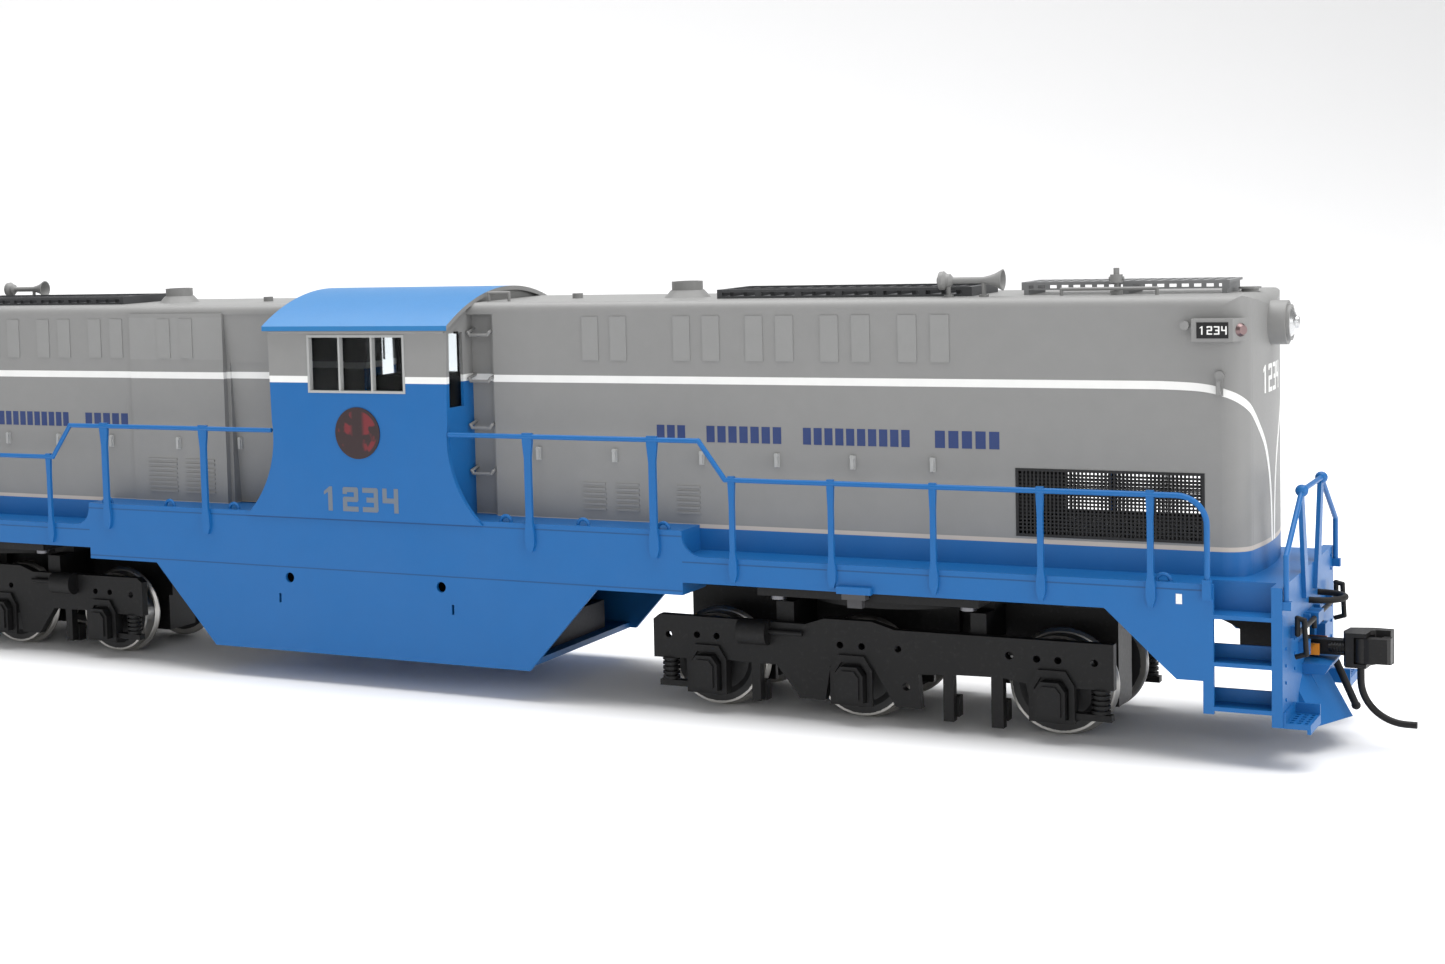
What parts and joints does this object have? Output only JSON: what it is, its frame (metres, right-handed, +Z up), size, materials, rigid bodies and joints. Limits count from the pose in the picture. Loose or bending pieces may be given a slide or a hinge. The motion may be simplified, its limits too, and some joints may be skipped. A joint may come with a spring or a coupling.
{
  "type": "model diesel locomotive",
  "caption": "HO scale centre-cab diesel transfer locomotive with two grey engine hoods, blue walkways and cab, swivelling six-wheel trucks, shaft drive and knuckle couplers.",
  "frame": {"origin": "on the plane of the wheel flange bottoms, midway between the two ends under the cab", "axes": "+X towards the front end, +Y towards the left side, +Z up"},
  "size_m": [0.2724, 0.0374, 0.0584],
  "materials": {
    "blue_paint": "semi-gloss blue paint",
    "grey_paint": "satin grey paint",
    "cab_paint": "blue below and grey above a white line",
    "dark_grey_paint": "flat dark grey paint",
    "black_paint": "satin black paint",
    "grille_black": "flat black etched mesh",
    "disc_paint": "dark printed disc",
    "clear_glass": "clear",
    "red_lens": "tinted red",
    "plate_black": "gloss black",
    "interior_paint": "matte dark grey green",
    "black_rubber": "matte black",
    "black_plastic": "matte black",
    "bronze_spring": "bright phosphor bronze",
    "wheel_steel": "turned steel tread, blackened face",
    "shaft_steel": "turned steel",
    "motor_steel": "zinc-plated can",
    "flywheel_brass": "turned brass",
    "ballast_metal": "cast weight",
    "screw_steel": "blackened steel"
  },
  "bodies": {
    "locomotive_body": {"underframe": "black_paint", "walkway": "blue_paint", "step_wells": "blue_paint", "pilot_front": "blue_paint", "pilot_rear": "blue_paint", "hood_front": "grey_paint", "hood_rear": "grey_paint", "hood_latches": "grey_paint", "side_grilles": "grille_black", "radiators": "dark_grey_paint", "exhaust_stacks": "grey_paint", "horns": "grey_paint", "roof_fittings": "grey_paint", "running_boards": "dark_grey_paint", "cab_body": "cab_paint", "cab_roof": "blue_paint", "window_frames": "grey_paint", "cab_glass": "clear_glass", "cab_interior": "interior_paint", "wipers": "black_plastic", "emblem_discs": "disc_paint", "nose_lights": "grey_paint", "headlight_lenses": "clear_glass", "number_plates": "plate_black", "marker_lenses": "red_lens", "grab_irons": "grey_paint", "lift_hooks": "grey_paint", "walkway_fittings": "blue_paint", "rail_left": "blue_paint", "rail_right": "blue_paint", "end_rails": "blue_paint", "cut_levers": "black_paint", "train_hoses": "black_rubber", "coupler_boxes": "black_plastic", "centring_springs": "bronze_spring", "motor_can": "motor_steel", "ballast_weight": "ballast_metal", "fixing_screws": "screw_steel"},
    "rotor": {"rotor": "flywheel_brass"},
    "drive_shaft_front": {"drive_shaft_front": "shaft_steel"},
    "drive_shaft_rear": {"drive_shaft_rear": "shaft_steel"},
    "truck_front": {"truck_front": "black_paint", "gearbox_front": "black_plastic"},
    "truck_rear": {"truck_rear": "black_paint", "gearbox_rear": "black_plastic"},
    "cup_shaft_front": {"cup_shaft_front": "shaft_steel"},
    "cup_shaft_rear": {"cup_shaft_rear": "shaft_steel"},
    "worm_shaft_front": {"worm_shaft_front": "shaft_steel"},
    "worm_shaft_rear": {"worm_shaft_rear": "shaft_steel"},
    "coupler_front": {"coupler_front": "black_plastic"},
    "coupler_rear": {"coupler_rear": "black_plastic"},
    "knuckle_front": {"knuckle_front": "black_plastic"},
    "knuckle_rear": {"knuckle_rear": "black_plastic"},
    "wheelset_f1": {"wheelset_f1": "wheel_steel"},
    "wheelset_f2": {"wheelset_f2": "wheel_steel"},
    "wheelset_f3": {"wheelset_f3": "wheel_steel"},
    "wheelset_r1": {"wheelset_r1": "wheel_steel"},
    "wheelset_r2": {"wheelset_r2": "wheel_steel"},
    "wheelset_r3": {"wheelset_r3": "wheel_steel"}
  },
  "joints": [
    {"name": "motor_spin", "type": "hinge", "parent": "locomotive_body", "child": "rotor", "pos_m": [0, 0, 0.0205], "axis": [1, 0, 0], "continuous": true},
    {"name": "front_truck_swivel", "type": "hinge", "parent": "locomotive_body", "child": "truck_front", "pos_m": [0.074, 0, 0.017], "axis": [0, 0, 1], "range_deg": [-8, 8]},
    {"name": "front_drive_shaft_spin", "type": "hinge", "parent": "locomotive_body", "child": "drive_shaft_front", "pos_m": [0.0252, 0, 0.0205], "axis": [1, 0, 0], "continuous": true},
    {"name": "front_cup_shaft_spin", "type": "hinge", "parent": "truck_front", "child": "cup_shaft_front", "pos_m": [0.074, 0, 0.0205], "axis": [1, 0, 0], "continuous": true},
    {"name": "front_worm_shaft_spin", "type": "hinge", "parent": "truck_front", "child": "worm_shaft_front", "pos_m": [0.074, 0, 0.0132], "axis": [1, 0, 0], "continuous": true},
    {"name": "wheelset_f1_spin", "type": "hinge", "parent": "truck_front", "child": "wheelset_f1", "pos_m": [0.0509, 0, 0.00675], "axis": [0, 1, 0], "continuous": true},
    {"name": "wheelset_f2_spin", "type": "hinge", "parent": "truck_front", "child": "wheelset_f2", "pos_m": [0.0709, 0, 0.00675], "axis": [0, 1, 0], "continuous": true},
    {"name": "wheelset_f3_spin", "type": "hinge", "parent": "truck_front", "child": "wheelset_f3", "pos_m": [0.0965, 0, 0.00675], "axis": [0, 1, 0], "continuous": true},
    {"name": "front_coupler_swing", "type": "hinge", "parent": "locomotive_body", "child": "coupler_front", "pos_m": [0.1192, 0, 0.0119], "axis": [0, 0, 1], "range_deg": [-10, 10], "stiffness_Nm_per_rad": 0.0006},
    {"name": "front_knuckle_swing", "type": "hinge", "parent": "coupler_front", "child": "knuckle_front", "pos_m": [0.13, -0.0013, 0.0119], "axis": [0, 0, 1], "range_deg": [-30, 0], "stiffness_Nm_per_rad": 0.00008},
    {"name": "rear_truck_swivel", "type": "hinge", "parent": "locomotive_body", "child": "truck_rear", "pos_m": [-0.074, 0, 0.017], "axis": [0, 0, 1], "range_deg": [-8, 8]},
    {"name": "rear_drive_shaft_spin", "type": "hinge", "parent": "locomotive_body", "child": "drive_shaft_rear", "pos_m": [-0.0252, 0, 0.0205], "axis": [1, 0, 0], "continuous": true},
    {"name": "rear_cup_shaft_spin", "type": "hinge", "parent": "truck_rear", "child": "cup_shaft_rear", "pos_m": [-0.074, 0, 0.0205], "axis": [1, 0, 0], "continuous": true},
    {"name": "rear_worm_shaft_spin", "type": "hinge", "parent": "truck_rear", "child": "worm_shaft_rear", "pos_m": [-0.074, 0, 0.0132], "axis": [1, 0, 0], "continuous": true},
    {"name": "wheelset_r1_spin", "type": "hinge", "parent": "truck_rear", "child": "wheelset_r1", "pos_m": [-0.0509, 0, 0.00675], "axis": [0, 1, 0], "continuous": true},
    {"name": "wheelset_r2_spin", "type": "hinge", "parent": "truck_rear", "child": "wheelset_r2", "pos_m": [-0.0709, 0, 0.00675], "axis": [0, 1, 0], "continuous": true},
    {"name": "wheelset_r3_spin", "type": "hinge", "parent": "truck_rear", "child": "wheelset_r3", "pos_m": [-0.0965, 0, 0.00675], "axis": [0, 1, 0], "continuous": true},
    {"name": "rear_coupler_swing", "type": "hinge", "parent": "locomotive_body", "child": "coupler_rear", "pos_m": [-0.1192, 0, 0.0119], "axis": [0, 0, 1], "range_deg": [-10, 10], "stiffness_Nm_per_rad": 0.0006},
    {"name": "rear_knuckle_swing", "type": "hinge", "parent": "coupler_rear", "child": "knuckle_rear", "pos_m": [-0.13, 0.0013, 0.0119], "axis": [0, 0, 1], "range_deg": [-30, 0], "stiffness_Nm_per_rad": 0.00008}
  ],
  "couplings": [
    {"joint": "front_drive_shaft_spin", "follows": "motor_spin", "ratio": 1},
    {"joint": "front_cup_shaft_spin", "follows": "motor_spin", "ratio": 1},
    {"joint": "front_worm_shaft_spin", "follows": "motor_spin", "ratio": -1},
    {"joint": "wheelset_f1_spin", "follows": "motor_spin", "ratio": 0.055556},
    {"joint": "wheelset_f2_spin", "follows": "motor_spin", "ratio": 0.055556},
    {"joint": "wheelset_f3_spin", "follows": "motor_spin", "ratio": 0.055556},
    {"joint": "rear_drive_shaft_spin", "follows": "motor_spin", "ratio": 1},
    {"joint": "rear_cup_shaft_spin", "follows": "motor_spin", "ratio": 1},
    {"joint": "rear_worm_shaft_spin", "follows": "motor_spin", "ratio": -1},
    {"joint": "wheelset_r1_spin", "follows": "motor_spin", "ratio": 0.055556},
    {"joint": "wheelset_r2_spin", "follows": "motor_spin", "ratio": 0.055556},
    {"joint": "wheelset_r3_spin", "follows": "motor_spin", "ratio": 0.055556}
  ]
}
